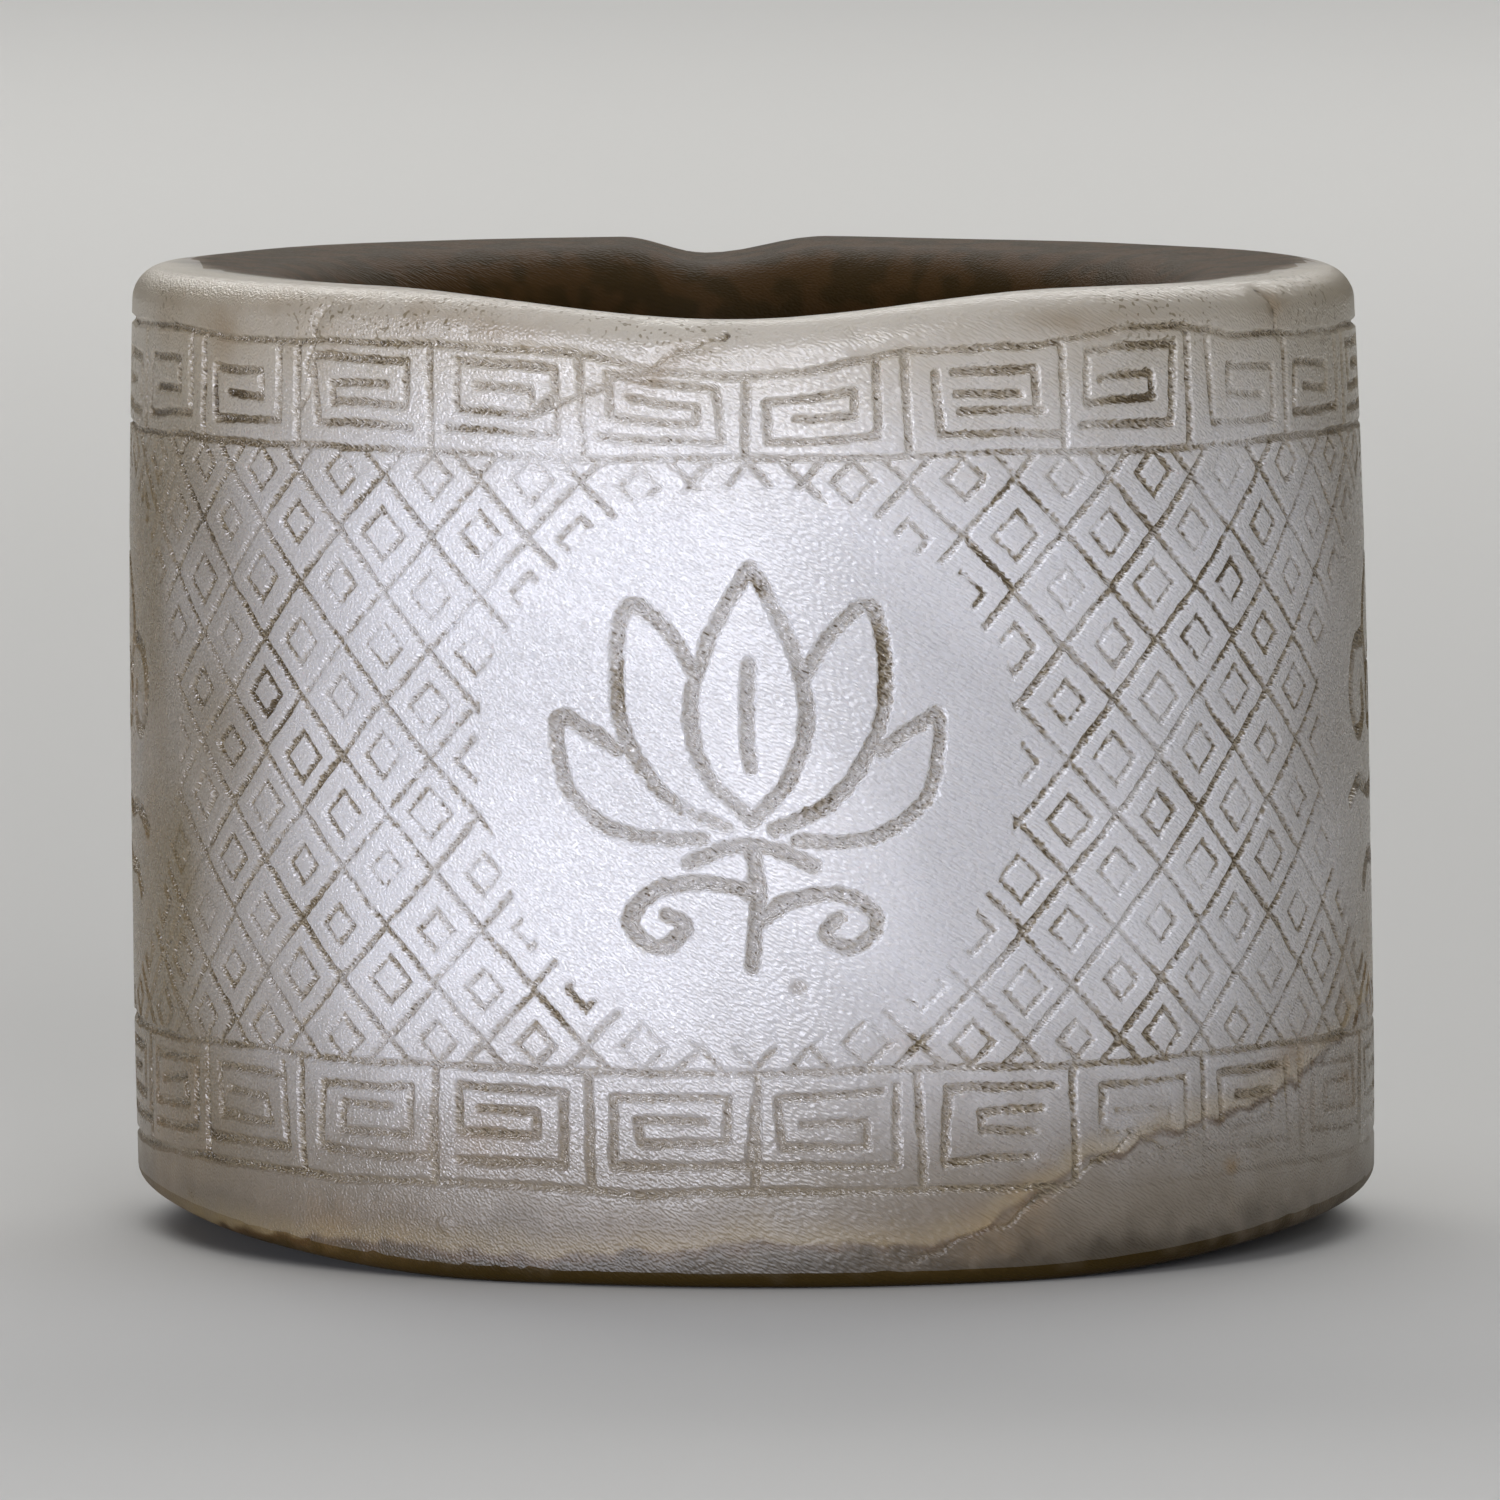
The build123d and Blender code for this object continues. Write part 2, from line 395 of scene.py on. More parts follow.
CRACKS = [
    # path of (angle, level), half width, depth
    ([(-19.5, 21.7), (-15.5, 22.2), (-9.9, 22.8), (-6.3, 23.3), (-1.4, 23.75)], 0.12, 0.10),
    ([(-9.5, 24.1), (-5, 23.95), (-1.8, 23.45)], 0.08, 0.04),
    ([(-42.0, 24.3), (-42.9, 23.6), (-43.6, 22.4), (-44.8, 21.6)], 0.11, 0.09),
    ([(57.2, 24.4), (58.3, 23.9), (59.0, 23.3)], 0.14, 0.07),
    ([(5, 23.7), (7.5, 23.85), (10.8, 23.72)], 0.06, 0.04),
    ([(128, 24.0), (131, 22.8), (129, 21.5), (133, 19.5)], 0.10, 0.08),
    ([(204, 7.2), (211, 8.0), (216, 7.7), (222, 8.9)], 0.09, 0.06),
]
CHIPS = [
    # angle, level, radius, depth
    (4.2, 7.56, 0.30, 0.06), (48.9, 2.5, 0.22, 0.05), (-29.3, 1.39, 0.34, -0.04), (-25.7, 23.83, 0.08, 0.05),
    (-37, 2.0, 0.25, 0.03), (69, 23.2, 0.3, 0.05), (152, 23.6, 0.5, 0.09), (170, 1.6, 0.4, 0.06),
    (246, 23.9, 0.45, 0.07), (-64, 1.5, 0.3, 0.04), (97, 9.2, 0.25, 0.05),
]


def over_vein(degrees, level):
    """Height above the vein, in millimetres."""
    return level - by_angle(VEIN, degrees)


vein_wander = 0.16 * waves(*wall, 2.4, 41) + 0.06 * waves(*wall, 0.7, 42)
above = over_vein(degrees, level) + vein_wander
worn_side = np.clip((degrees - WORN_FROM) / WORN_FADE, 0, 1) * np.clip((WORN_TO - degrees) / WORN_FADE, 0, 1)
worn = WORN_AWAY * np.clip(-above / 0.35, 0, 1) * worn_side
rubbed = sum(share * bell(degrees - a, across) * bell(level - z, up) for a, z, across, up, share in RUBBED)
cut *= np.clip(1 - worn - rubbed, 0.2, 1)
cut *= np.clip(1 + 0.20 * waves(*wall, 4.5, 43) + 0.10 * waves(*wall, 0.35, 44), 0.3, 1.4)
flaw = VEIN_DEPTH * bell(above, VEIN_HALF) * (0.12 + 0.88 * bell(degrees - 32, 28))
for path, half, depth in CRACKS:
    middle = np.mean([degree for degree, _ in path])
    near = (np.abs((degrees - middle + 180) % 360 - 180) < 14) & (level > 5)
    u = ((degrees[near] - middle + 180) % 360 - 180) * math.radians(BELLY_RADIUS)
    u = u + 0.10 * waves(*(c[near] for c in wall), 0.9, 45)
    v = level[near] + 0.10 * waves(*(c[near] for c in wall), 0.9, 46)
    corners = [((degree - middle) * math.radians(BELLY_RADIUS), z) for degree, z in path]
    flaw[near] = np.maximum(flaw[near], wheel_cut(to_path(u, v, corners), half * ragged[near], depth))
for degree, z, size, depth in CHIPS:
    u = ((degrees - degree + 180) % 360 - 180) * math.radians(BELLY_RADIUS)
    flaw += depth * np.clip(1.6 * bell(np.hypot(u, level - z) / ragged**2, size), 0, 1)


# The finished stone: the turned form, faintly uneven from hand grinding, with the strokes and
# flaws taken out square to its surface. The fine grid is then thinned where it is smooth, and
# what is left keeps the fine grid's normals, so that the lips of the strokes stay crisp.
# In order: how far the wall leans for each millimetre of height, the triangles that are kept, how
# far inside its triangle a corner looks, the depth that still counts as uncut, the share left out
# at each end of the wall, and the cosine of the angle within which normals are alike
LEAN = 0.0148
TRIANGLES = 198_000
INSIDE = 0.05
UNCUT = 0.004
WALL_ENDS = 0.004
ALIKE = math.cos(math.radians(4))


def square_to(grid):
    """Outward unit normals of a closed grid of points: the cross product of the steps across each
    point, round the ring and along its section, over its length."""
    step_round = np.roll(grid, -1, 1) - np.roll(grid, 1, 1)
    step_along = np.roll(grid, -1, 0) - np.roll(grid, 1, 0)
    square = np.cross(step_round, step_along)
    return square / np.linalg.norm(square, axis=-1, keepdims=True)


turned_form = np.stack([X, Y, Z], -1)
uneven = 0.012 * waves(X, Y, Z, 9.0, 51) + 0.0015 * waves(X, Y, Z, 2.4, 52)
taken = np.zeros_like(X)
taken[engraved] = np.maximum(cut, flaw) + np.minimum(flaw, 0)
ground = turned_form + square_to(turned_form) * uneven[..., None]
points = ground - square_to(turned_form) * taken[..., None]
points[..., 0] += LEAN * (HEIGHT / 2 - points[..., 2])
points[..., 2] = np.maximum(points[..., 2], 0)
fine_fields = np.concatenate([square_to(points), square_to(ground), taken[..., None]], -1)

corner = np.arange(X.size).reshape(X.shape)
right, along = np.roll(corner, -1, 1), np.roll(corner, -1, 0)
faces = np.stack([corner, right, np.roll(along, -1, 1), along], -1).reshape(-1, 4)
fine_mesh = bpy.data.meshes.new("ring_as_cut")
fine_mesh.vertices.add(X.size)
fine_mesh.vertices.foreach_set("co", (points * MM).astype(np.float32).ravel())
fine_mesh.loops.add(faces.size)
fine_mesh.loops.foreach_set("vertex_index", faces.astype(np.int32).ravel())
fine_mesh.polygons.add(len(faces))
fine_mesh.polygons.foreach_set("loop_start", np.arange(0, faces.size, 4, dtype=np.int32))
fine_mesh.update(calc_edges=True)
taken_layer = fine_mesh.attributes.new("taken", "FLOAT", "POINT")
taken_layer.data.foreach_set("value", taken.astype(np.float32).ravel())
fine_mesh.shade_smooth()
ring = bpy.data.objects.new("carved_ring", fine_mesh)
bpy.context.collection.objects.link(ring)
thin = ring.modifiers.new("thin", "DECIMATE")
thin.ratio = TRIANGLES / (2 * len(faces))
ring_mesh = bpy.data.meshes.new_from_object(ring.evaluated_get(bpy.context.evaluated_depsgraph_get()))
ring.modifiers.clear()
ring.data = ring_mesh


def read(data, field, width, kind=np.float32):
    """One field of a mesh's elements as an array, with a row for each element."""
    values = np.empty(len(data) * width, kind)
    data.foreach_get(field, values)
    return values.reshape(-1, width)


def sample(grid, row, column):
    """The grid's value between four of its points, weighted by the nearness to each."""
    low, left = np.floor(row).astype(int), np.floor(column).astype(int)
    up, over = (row - low)[:, None], (column - left)[:, None]
    left, beside = left % ROUND_STEPS, (left + 1) % ROUND_STEPS
    under = grid[low, left] * (1 - over) + grid[low, beside] * over
    upper = grid[low + 1, left] * (1 - over) + grid[low + 1, beside] * over
    return under * (1 - up) + upper * up


def look_up(spots):
    """The fine grid's fields at spots on the wall, and which spots are on it: the grid's row goes
    by the share of the way up the wall, and its column by the angle."""
    x, z = spots[:, 0] - LEAN * (HEIGHT / 2 - spots[:, 2]), spots[:, 2]
    angle = np.arctan2(x, -spots[:, 1]) % (2 * math.pi)
    foot = base_level(BASE_RADIUS * np.sin(angle)) + BASE_ROUND
    head = rim_level(RIM_RADIUS * np.sin(angle), -np.cos(angle)) - RIM_ROUND
    share = (z - foot) / (head - foot)
    on_wall = (np.abs(share - 0.5) < 0.5 - WALL_ENDS) & (np.hypot(x, spots[:, 1]) > RIM_RADIUS - 0.6)
    row = np.clip(share, 0, 1 - WALL_ENDS) * WALL_STEPS
    return sample(fine_fields, row, angle / (2 * math.pi) * ROUND_STEPS), on_wall


# Each corner looks up the fine grid a little inside its triangle. Where the triangle's middle
# isn't cut, its corners have the normals of the stone before it was engraved. Corners that nearly
# agree share one normal, and each also keeps the depth of the engraving.
place = read(ring_mesh.vertices, "co", 3) / MM
owner = read(ring_mesh.loops, "vertex_index", 1, np.int32)[:, 0]
first = read(ring_mesh.polygons, "loop_start", 1, np.int32)[:, 0]
count = read(ring_mesh.polygons, "loop_total", 1, np.int32)[:, 0]
middle = np.add.reduceat(place[owner], first) / count[:, None]
untouched = np.repeat(np.abs(look_up(middle)[0][:, 6]) < UNCUT, count)
inward = np.repeat(middle, count, axis=0) - place[owner]
far = np.linalg.norm(inward, axis=1, keepdims=True)
fields, on_wall = look_up(place[owner] + inward * np.minimum(INSIDE / far, 0.5))
corner_normals = np.where(untouched[:, None], fields[:, 3:6], fields[:, :3]) * on_wall[:, None]
shared = np.stack([np.bincount(owner, corner_normals[:, axis]) for axis in range(3)], -1)
shared /= np.maximum(np.linalg.norm(shared, axis=1, keepdims=True), 1e-9)
alike = (corner_normals * shared[owner]).sum(1) > ALIKE
corner_normals = np.where(alike[:, None], shared[owner], corner_normals)
ring_mesh.normals_split_custom_set(corner_normals.tolist())
by_vertex = read(ring_mesh.attributes["taken"].data, "value", 1)[owner, 0]
depths = np.where(on_wall, fields[:, 6] * ~untouched, by_vertex) / LINE_DEPTH
engraving = ring_mesh.attributes.new("engraving", "FLOAT", "CORNER")
engraving.data.foreach_set("value", np.clip(depths, 0, 1.3).astype(np.float32))
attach(ring, "root")
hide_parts("thumb_ring")

# Stains by place, and painted shade: russet film, dirt held in the strokes, the brown at both sides, which
# is partly age and partly painted shade where the wall turns away from the front, the height above the vein
# and the clouding of the stone. They are patches with soft edges, and amounts that change from angle to
# angle.
RUSSET = [
    # angle, level, half arc, half rise, tilt, amount
    (-80, 12.0, 4.5, 12.0, 0, 0.50), (-70, 3.5, 5.0, 3.5, 0, 0.55), (77, 6.3, 3.4, 2.6, 10, 0.85),
    (58, 5.1, 3.2, 0.9, 12, 0.7), (24.5, 1.9, 2.2, 0.9, 28, 0.95), (-38, 1.0, 6.0, 1.2, 0, 0.5),
    (-38, 24.2, 9.0, 1.5, 0, 0.40), (-43, 23.4, 2.0, 1.2, 10, 0.5), (-24, 23.8, 3.0, 0.7, 0, 0.40),
    (-62, 23.5, 5.0, 1.6, 0, 0.45), (-10, 22.6, 3.2, 0.6, 27, 0.6), (32, 23.9, 5.0, 0.7, 0, 0.35),
    (58, 24.0, 1.6, 0.9, 0, 0.5), (14.6, 6.1, 1.2, 0.5, 0, 0.6), (4.2, 7.56, 0.4, 0.35, 0, 0.7),
    (48.9, 2.5, 0.4, 0.3, 0, 0.9), (-25, 3.6, 4.0, 1.4, 0, 0.30), (130, 21.5, 2.5, 3.5, 0, 0.6),
    (213, 8.0, 4.0, 2.0, 15, 0.5), (180, 4.0, 6.0, 2.0, -20, 0.5), (150, 8.0, 5.0, 1.5, 5, 0.6),
    (-105, 21.0, 3.5, 3.0, 0, 0.4), (108, 16.0, 3.0, 5.0, 0, 0.35), (240, 3.0, 4.0, 1.8, 0, 0.45),
    (20, 1.4, 4.2, 1.3, 6, 0.55), (68, 4.0, 3.5, 1.6, 10, 0.45), (-12, 1.0, 4.0, 0.8, 0, 0.30),
]
DIRT = [
    # angle, level, half arc, half rise, tilt, amount
    (22, 17.7, 1.2, 1.0, 0, 1.0), (25, 19.6, 1.3, 0.8, 0, 0.9), (-49, 14.4, 1.5, 1.6, 40, 0.9),
    (-71, 21.7, 1.4, 1.2, 0, 1.0), (-1.6, 23.6, 0.6, 0.45, 40, 1.0), (7.5, 23.8, 1.1, 0.22, 0, 0.9),
    (47, 16.5, 1.6, 3.0, -20, 0.8), (14.6, 6.1, 1.0, 0.4, 0, 0.7), (38, 22.0, 1.6, 0.9, 0, 0.8),
    (-57, 21.9, 1.5, 0.7, 0, 0.8), (-25, 21.5, 1.2, 0.7, 0, 0.5), (-17, 7.0, 1.5, 1.0, 0, 0.6),
    (-25.7, 23.83, 0.12, 0.12, 0, 1.0), (58.2, 23.9, 0.35, 0.8, -10, 0.9), (160, 17.0, 2.0, 3.0, 30, 0.8),
    (11, 15.5, 0.8, 1.8, 0, 0.8), (5.3, 12.3, 0.9, 0.8, 0, 0.5), (-11, 15.0, 0.7, 1.2, 0, 0.45),
    (0.2, 17.3, 0.5, 0.7, 0, 0.6), (25.5, 1.95, 1.4, 0.6, 30, 1.0), (13, 0.95, 1.5, 0.4, 0, 0.6),
    (205, 21.8, 3.0, 1.0, 0, 0.8), (-110, 8.0, 2.0, 3.0, 0, 0.7), (118, 12.0, 2.0, 4.0, 0, 0.7),
]
DIRT_ROUND = [
    # angle, amount
    (-90, 0.45), (-58, 0.38), (-45, 0.32), (-30, 0.14), (0, 0.02), (14, 0.07), (27, 0.24), (60, 0.28),
    (180, 0.32),
]
# Brown at the sides by angle: partly age and partly painted shade where the wall turns away from the front
AGED_AND_SIDE_SHADE_ROUND = [
    # angle, amount
    (-90, 1.0), (-70, 0.97), (-57, 0.74), (-44, 0.30), (-34, 0.0), (35, 0.0), (48, 0.06), (62, 0.38),
    (82, 1.0), (110, 0.75), (140, 0.2), (165, 0.0), (200, 0.1), (240, 0.5),
]
# The lower band holds less dirt where it is worn, at the right
CLEAN_ANGLE, CLEAN_LEVEL, CLEAN_AWAY = 42, 3.9, 0.7


def patches(table, degrees, level):
    """How strongly the patches lie at each place: the largest, over all of them, of the amount
    times a bell of the distance in half sizes, on axes turned by the tilt."""
    total = np.zeros_like(degrees)
    for degree, z, half_arc, half_rise, tilt, amount in table:
        u = ((degrees - degree + 180) % 360 - 180) * math.radians(BELLY_RADIUS)
        v = level - z
        c, s = math.cos(math.radians(tilt)), math.sin(math.radians(tilt))
        far = np.hypot((u * c + v * s) / half_arc, (v * c - u * s) / half_rise)
        total = np.maximum(total, amount * bell(far, 1))
    return total


place = place.T
x, y, z = place
turned = np.degrees(np.arctan2(x, -y))
outer = np.clip((np.hypot(x, y) - BORE_RADIUS - RIM_MOUTH) / 1.5, 0, 1)
dirt = patches(DIRT, turned, z) + by_angle(DIRT_ROUND, turned) * (1 + 0.5 * waves(*place, 3.2, 61))
dirt *= 1 - CLEAN_AWAY * bell(turned - CLEAN_ANGLE, 16) * bell(z - CLEAN_LEVEL, 1.6)
for name, values in {
    "russet": patches(RUSSET, turned, z) * outer * (1 + 0.3 * waves(*place, 2.5, 62)),
    "dirt": dirt,
    "aged_and_side_shade": np.clip(by_angle(AGED_AND_SIDE_SHADE_ROUND, turned) * (1 + 0.10 * waves(*place, 6.0, 64)), 0, 1),
    "over_vein": over_vein(turned, z),
    "cloud": 0.5 + 0.35 * waves(*place, 5.0, 63),
}.items():
    layer = ring_mesh.attributes.new(name, "FLOAT", "POINT")
    layer.data.foreach_set("value", values.astype(np.float32))

# Old grime has dulled the bore, the rim as far as its brown reaches, which is farther at the back, and the
# rounding of the foot; their loss of reflection is partly grime and partly painted shade: those faces take
# the ring's second material
from_axis = np.hypot(middle[:, 0], middle[:, 1])
stain_and_shade_reach = 13.0 + 2.3 * np.clip(middle[:, 1] / 12 + 0.5, 0, 1)
dulled_and_shaded = (from_axis < stain_and_shade_reach) | (middle[:, 2] < base_level(middle[:, 0]) + BASE_ROUND)
ring_mesh.polygons.foreach_set("material_index", dulled_and_shaded.astype(np.int32))


# The nephrite: milky grey-white and faintly clouded, satin where it is handled. Old dirt fills the strokes,
# and iron has stained the rim, the foot and the vein. Painted shade adds to the brown at both sides, the
# darker rim and foot and the tan in every stroke, and the bore is dark brown, partly stain and partly
# painted shade of its unlit inside.
MILK = (0.70, 0.69, 0.71, 1)
CLOUD_GREY = (0.62, 0.61, 0.625, 1)
# The next four colours are partly stain and partly painted shade: at both sides, the top and the foot
AGED_AND_SIDE_SHADE = (0.175, 0.130, 0.068, 1)
RIM_CREAM_AND_TOP_SHADE = (0.45, 0.395, 0.305, 1)
FOOT_BROWN_AND_SHADE = (0.165, 0.128, 0.082, 1)
FOOT_OLIVE_AND_SHADE = (0.038, 0.023, 0.005, 1)
RUST = (0.21, 0.125, 0.042, 1)
# Tan in the strokes: partly dirt and partly painted shade of their hollows
TAN_DIRT_AND_SHADE = (0.26, 0.21, 0.135, 1)
DARK_DIRT = (0.085, 0.058, 0.026, 1)
VEIN_DARK = (0.085, 0.045, 0.015, 1)
VEIN_LIP = (0.44, 0.335, 0.175, 1)
# Bore browns: partly stain and partly painted shade of the unlit inside
BORE_STAIN_AND_SHADE_BROWN = (0.075, 0.040, 0.013, 1)
BORE_STAIN_AND_SHADE_OLIVE = (0.050, 0.030, 0.009, 1)
SPECK_OLIVE = (0.150, 0.110, 0.045, 1)

jade = bpy.data.materials.new("nephrite")
jade.use_nodes = True
tree = jade.node_tree
shader = tree.nodes["Principled BSDF"]


def node(kind, inputs, output=0, **settings):
    """Adds a node, gives each input its value or the socket that feeds it, returns an output."""
    made = tree.nodes.new(kind)
    for name, value in settings.items():
        setattr(made, name, value)
    for name, value in inputs.items():
        if isinstance(value, bpy.types.NodeSocket):
            tree.links.new(value, made.inputs[name])
        else:
            made.inputs[name].default_value = value
    return made.outputs[output]


def grain(size, detail=0, turn=(0, 0, 0), long=1):
    """Noise from 0 to 1 with grains of a size in millimetres, drawn out along one turned axis."""
    scale = (long * size * MM, size * MM, size * MM)
    inputs = {"Vector": object_place, "Rotation": turn, "Scale": scale}
    where = node("ShaderNodeMapping", inputs, vector_type="TEXTURE")
    return node("ShaderNodeTexNoise", {"Vector": where, "Scale": 1, "Detail": detail}, output="Fac")


def maths(operation, *values, clamp=False):
    """One step of arithmetic on sockets and numbers."""
    return node("ShaderNodeMath", dict(enumerate(values)), operation=operation, use_clamp=clamp)


def ease(value, low, high, start=0, end=1):
    """Smoothly from start to end while the value goes from low to high, and flat outside."""
    inputs = {"Value": value, "From Min": low, "From Max": high, "To Min": start, "To Max": end}
    return node("ShaderNodeMapRange", inputs, interpolation_type="SMOOTHSTEP")


def blend(share, first, second):
    """The first colour where the share is 0 and the second where it is 1."""
    return node("ShaderNodeMix", {0: share, 6: first, 7: second}, output=2, data_type="RGBA")


def wall_value(name):
    """A number kept on the ring's mesh."""
    return node("ShaderNodeAttribute", {}, output="Fac", attribute_name=name)


object_place = node("ShaderNodeTexCoord", {}, output="Object")
behind_m = node("ShaderNodeSeparateXYZ", {"Vector": object_place}, output="Y")
level_m = node("ShaderNodeSeparateXYZ", {"Vector": object_place}, output="Z")
level_place = node("ShaderNodeVectorMath", {0: object_place, 1: (1, 1, 0)}, operation="MULTIPLY")
from_axis_m = node("ShaderNodeVectorMath", {0: level_place}, output="Value", operation="LENGTH")
mottle = grain(0.9, 1)
fine = grain(0.13)
fibres = grain(0.055, 0, (0.3, 0.5, 0.4), 4)

# The clouded stone and the brown at the sides, which is partly age and partly painted shade, then cream on
# the rim and brown and olive on the foot by height, with an uneven edge, each partly stain and partly
# painted shade that darkens the top and the foot, and patches of rust
colour = blend(ease(wall_value("cloud"), 0.2, 0.8), MILK, CLOUD_GREY)
# Brown at both sides: partly age and partly painted shade
colour = blend(wall_value("aged_and_side_shade"), colour, AGED_AND_SIDE_SHADE)
uneven_edge = maths("MULTIPLY_ADD", mottle, 0.0016, maths("SUBTRACT", level_m, 0.0008))
# Rim cream and foot brown and olive: partly stain and partly painted shade, darker towards the top and the
# bottom
colour = blend(ease(uneven_edge, 0.0185, 0.0245, 0, 0.85), colour, RIM_CREAM_AND_TOP_SHADE)
colour = blend(ease(uneven_edge, 0.0084, 0.0012, 0, 0.95), colour, FOOT_BROWN_AND_SHADE)
colour = blend(ease(uneven_edge, 0.0020, 0.0003), colour, FOOT_OLIVE_AND_SHADE)
russet = maths("MULTIPLY", wall_value("russet"), ease(mottle, 0.30, 0.70, 0.5, 1.2), clamp=True)
colour = blend(maths("MULTIPLY", russet, 0.8), colour, RUST)

# The vein: a thin dark line with a paler ochre lip above it
vein = maths("ADD", wall_value("over_vein"), maths("MULTIPLY_ADD", mottle, 0.9, -0.45))
lip = maths("MULTIPLY", ease(vein, 0.9, 0.1), ease(vein, -0.05, 0.1))
colour = blend(maths("MULTIPLY", lip, 0.35), colour, VEIN_LIP)
line = maths("MULTIPLY", ease(maths("ABSOLUTE", vein), 0.20, 0.01), ease(mottle, 0.3, 0.6, 0.35, 1))
colour = blend(maths("MULTIPLY", line, 0.85), colour, VEIN_DARK)

# Dirt in the strokes, tan where it is thin and dark where it is thick, with some tan in every stroke as
# painted shade of its hollow, and specks along the rim
engraving = wall_value("engraving")
dirt = wall_value("dirt")
groove = ease(maths("MULTIPLY_ADD", fine, 0.5, engraving), 0.55, 1.00)
# Every stroke takes at least a third of the tan, as painted shade of its hollow
held_dirt_and_shade = maths("MULTIPLY", groove, ease(maths("MULTIPLY_ADD", fine, 0.7, dirt), 0.30, 0.95, 0.32, 1))
colour = blend(held_dirt_and_shade, colour, TAN_DIRT_AND_SHADE)
dark = maths("MULTIPLY", groove, ease(maths("MULTIPLY_ADD", dirt, 0.45, fibres), 0.66, 0.88))
colour = blend(dark, colour, DARK_DIRT)

specks = maths("MULTIPLY", ease(fine, 0.64, 0.74, 0, 0.8), ease(uneven_edge, 0.0222, 0.0240))
specks = maths("MULTIPLY", specks, ease(wall_value("cloud"), 0.45, 0.75))
colour = blend(specks, colour, SPECK_OLIVE)

# The brown of the bore, partly stain and partly painted shade of the unlit inside, which spreads over the
# rim top as far as 13.3 mm from the axis in front and 15.4 mm behind, and stays off the wall
stain_and_shade_edge = maths("SUBTRACT", from_axis_m, ease(behind_m, -0.006, 0.006, 0.0133, 0.0154))
stain_and_shade_edge = maths("MULTIPLY_ADD", mottle, -0.0006, stain_and_shade_edge)
off_wall = maths("MAXIMUM", ease(level_m, 0.0232, 0.0240), ease(from_axis_m, 0.0148, 0.0140))
bore = maths("MULTIPLY", ease(stain_and_shade_edge, 0.0009, -0.0012), off_wall)
inside = blend(ease(mottle, 0.4, 0.6), BORE_STAIN_AND_SHADE_BROWN, BORE_STAIN_AND_SHADE_OLIVE)
colour = blend(bore, colour, inside)
tree.links.new(colour, shader.inputs["Base Color"])

# Roughness: satin, a little duller at the rim and more so at the foot and in the bore
at_rim = ease(uneven_edge, 0.0224, 0.0240)
at_foot = ease(uneven_edge, 0.0030, 0.0014)
roughness = maths("MULTIPLY_ADD", fine, 0.08, 0.24)
roughness = maths("MULTIPLY_ADD", groove, -0.05, roughness)
roughness = maths("MULTIPLY_ADD", at_rim, 0.06, roughness)
roughness = maths("MULTIPLY_ADD", at_foot, 0.20, roughness)
roughness = maths("MULTIPLY_ADD", bore, 0.20, roughness)
tree.links.new(roughness, shader.inputs["Roughness"])
shader.inputs["IOR"].default_value = 1.62
shader.inputs["Specular IOR Level"].default_value = 1.0
shader.subsurface_method = "BURLEY"
shader.inputs["Subsurface Weight"].default_value = 0.40
shader.inputs["Subsurface Radius"].default_value = (1.0, 0.85, 0.62)
shader.inputs["Subsurface Scale"].default_value = 0.0010

# Relief too fine for the mesh: the felted grain of the stone, and rougher bottoms in the strokes
relief = maths("MULTIPLY", fibres, maths("MULTIPLY_ADD", engraving, 0.065, 0.026))
normal = node("ShaderNodeBump", {"Height": relief, "Strength": 1.0, "Distance": 0.001}, output="Normal")
tree.links.new(normal, shader.inputs["Normal"])

# The same stone where old grime has dulled it, nearly without reflection: partly grime and partly painted
# shade
dull_and_shaded = jade.copy()
dull_and_shaded.name = "nephrite_dull_and_shaded"
dull_and_shaded.node_tree.nodes["Principled BSDF"].inputs["Specular IOR Level"].default_value = 0.06
ring_mesh.materials.append(jade)
ring_mesh.materials.append(dull_and_shaded)


# The floor: one plain pale matt sheet, level with the ring's foot and wide enough to fill the
# view behind it.
floor_mesh = bpy.data.meshes.new("floor")
floor_mesh.from_pydata([(-10, -10, 0), (10, -10, 0), (10, 10, 0), (-10, 10, 0)], [], [(0, 1, 2, 3)])
floor = bpy.data.objects.new("floor", floor_mesh)
bpy.context.collection.objects.link(floor)
paper = bpy.data.materials.new("pale_floor")
paper.use_nodes = True
paper.node_tree.nodes["Principled BSDF"].inputs["Base Color"].default_value = (0.62, 0.62, 0.61, 1)
paper.node_tree.nodes["Principled BSDF"].inputs["Roughness"].default_value = 0.8
floor_mesh.materials.append(paper)


# The lights, all soft: a long low strip at the front left gives the satin sheen, one in front
# lifts the strokes, three behind catch the edges, and one hangs above with an even fill.
LAMPS_AIM = 0.012


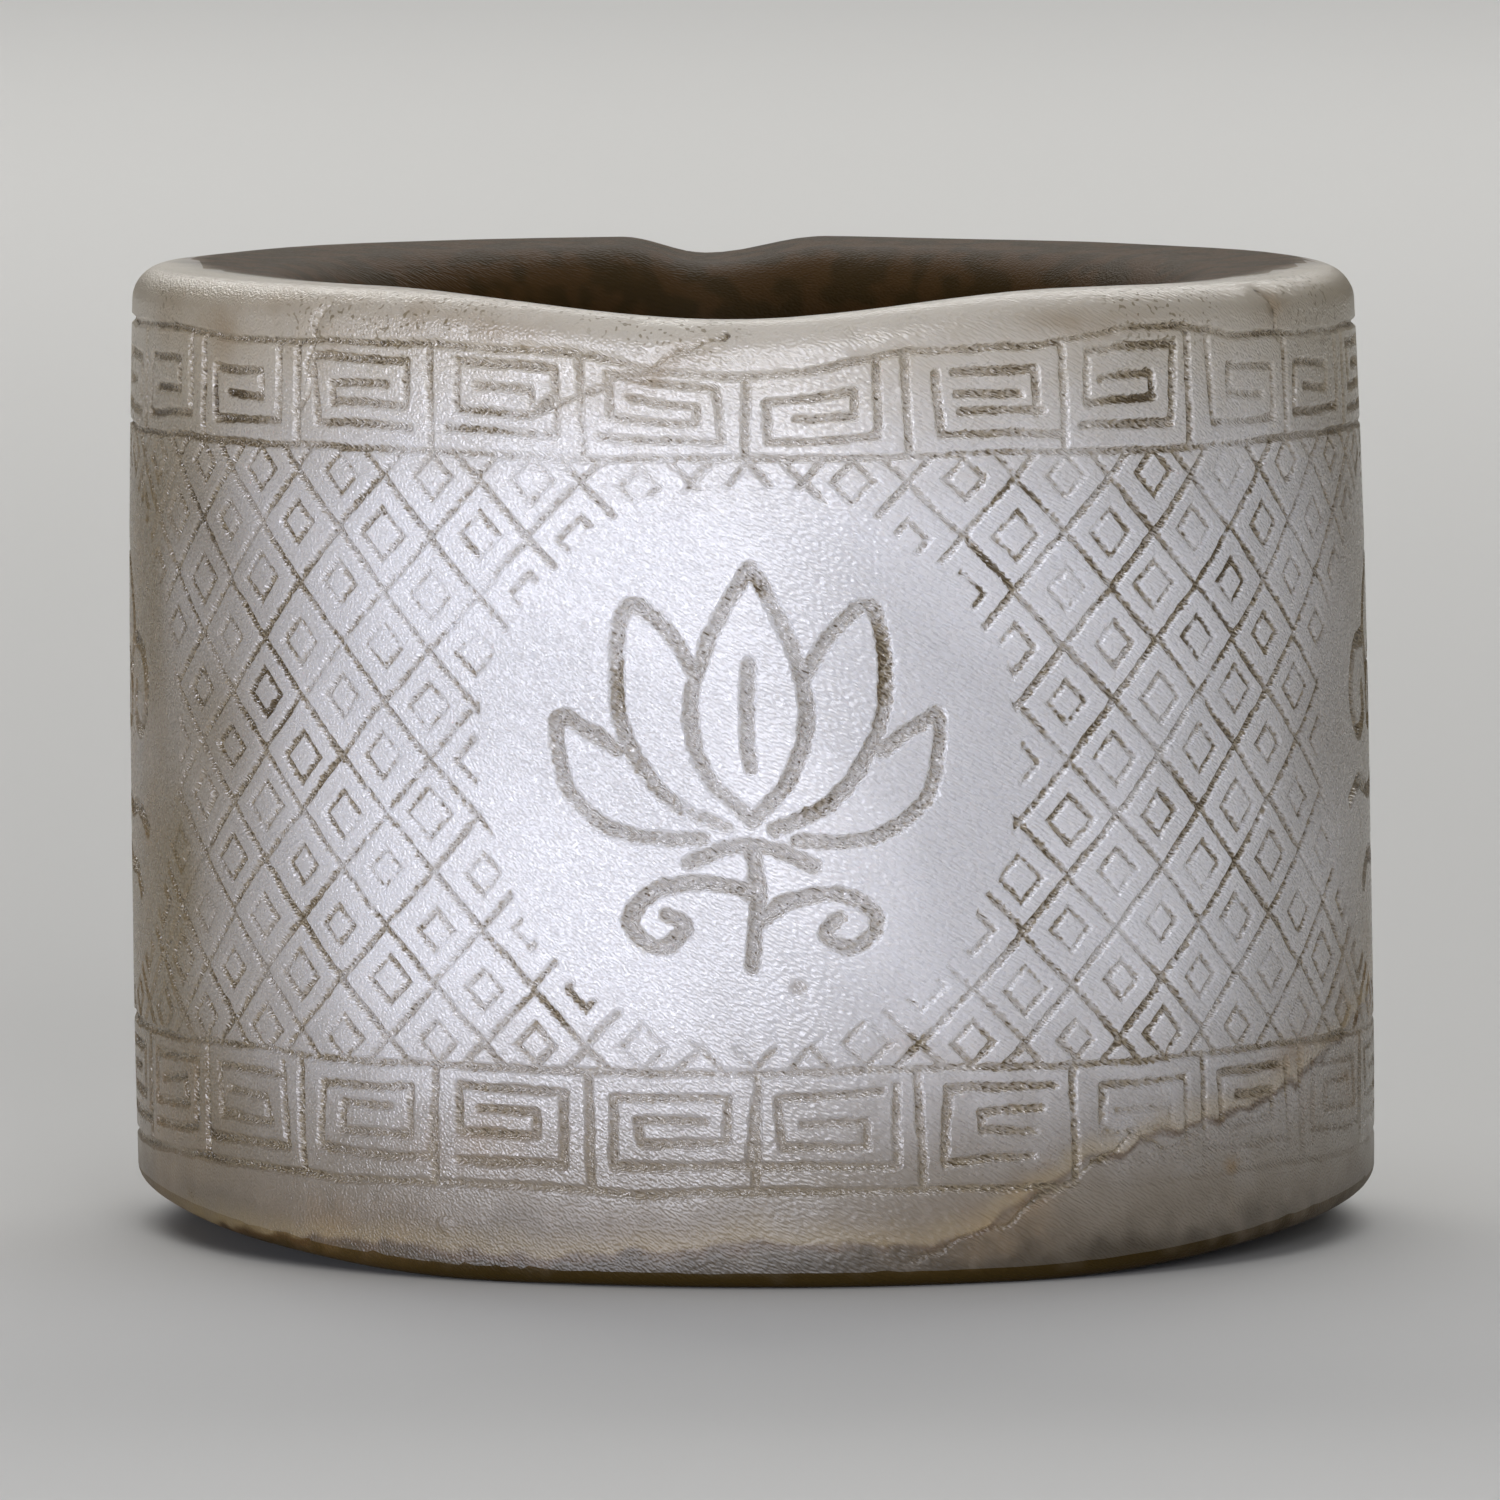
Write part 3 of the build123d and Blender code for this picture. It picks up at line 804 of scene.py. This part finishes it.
def lamp(name, bearing, away, level, width, height, power, colour):
    """A soft lamp at a bearing round the ring, turned towards it, in metres and watts."""
    light = bpy.data.lights.new(name, "AREA")
    light.shape, light.size, light.size_y = "RECTANGLE", width, height
    light.energy, light.color = power, colour
    made = bpy.data.objects.new(name, light)
    bpy.context.collection.objects.link(made)
    bearing = math.radians(bearing)
    made.location = (away * math.sin(bearing), -away * math.cos(bearing), level)
    made.rotation_euler = (math.pi / 2 - math.atan2(level - LAMPS_AIM, away), 0, bearing)
    made.visible_camera = False
    return made


lamp("key_strip", -24, 0.30, 0.023, 0.42, 0.044, 0.66, (0.86, 0.88, 1.0))
lamp("front_soft", 14, 0.80, 0.32, 0.30, 0.30, 1.5, (0.98, 0.98, 1.0))
lamp("back_soft", 180, 1.30, 0.90, 0.90, 0.50, 4.6, (1.0, 0.99, 0.97))
lamp("left_behind", -152, 0.75, 0.52, 0.30, 0.30, 1.1, (1.0, 0.98, 0.95))
lamp("right_behind", 152, 0.75, 0.52, 0.30, 0.30, 0.7, (1.0, 0.98, 0.95))
lamp("overhead_soft", 180, 0.70, 1.20, 1.40, 1.40, 2.6, (1.0, 1.0, 1.0))
fill = bpy.data.lights.new("even_fill", "SUN")
fill.energy, fill.angle = 0.75, 1.2
bpy.context.collection.objects.link(bpy.data.objects.new("even_fill", fill))

room = bpy.data.worlds.new("room")
room.use_nodes = True
room.node_tree.nodes["Background"].inputs["Color"].default_value = (0.30, 0.29, 0.28, 1)
room.node_tree.nodes["Background"].inputs["Strength"].default_value = 0.22
bpy.context.scene.world = room
bpy.context.scene.view_settings.view_transform = "Standard"


# The camera: a long lens in front, as the photo was taken, a little above the ring and aimed at
# the middle of its height.
CAMERA_AWAY = 0.400
CAMERA_PITCH = math.radians(4.7)
AIM_LEVEL = 0.01215
view = bpy.data.cameras.new("view")
view.sensor_width, view.lens = 36, 372
view.clip_start, view.clip_end = 0.01, 20
camera = bpy.data.objects.new("view", view)
bpy.context.collection.objects.link(camera)
camera_level = AIM_LEVEL + CAMERA_AWAY * math.sin(CAMERA_PITCH)
camera.location = (0, -CAMERA_AWAY * math.cos(CAMERA_PITCH), camera_level)
camera.rotation_euler = (math.pi / 2 - CAMERA_PITCH, 0, 0)
bpy.context.scene.camera = camera
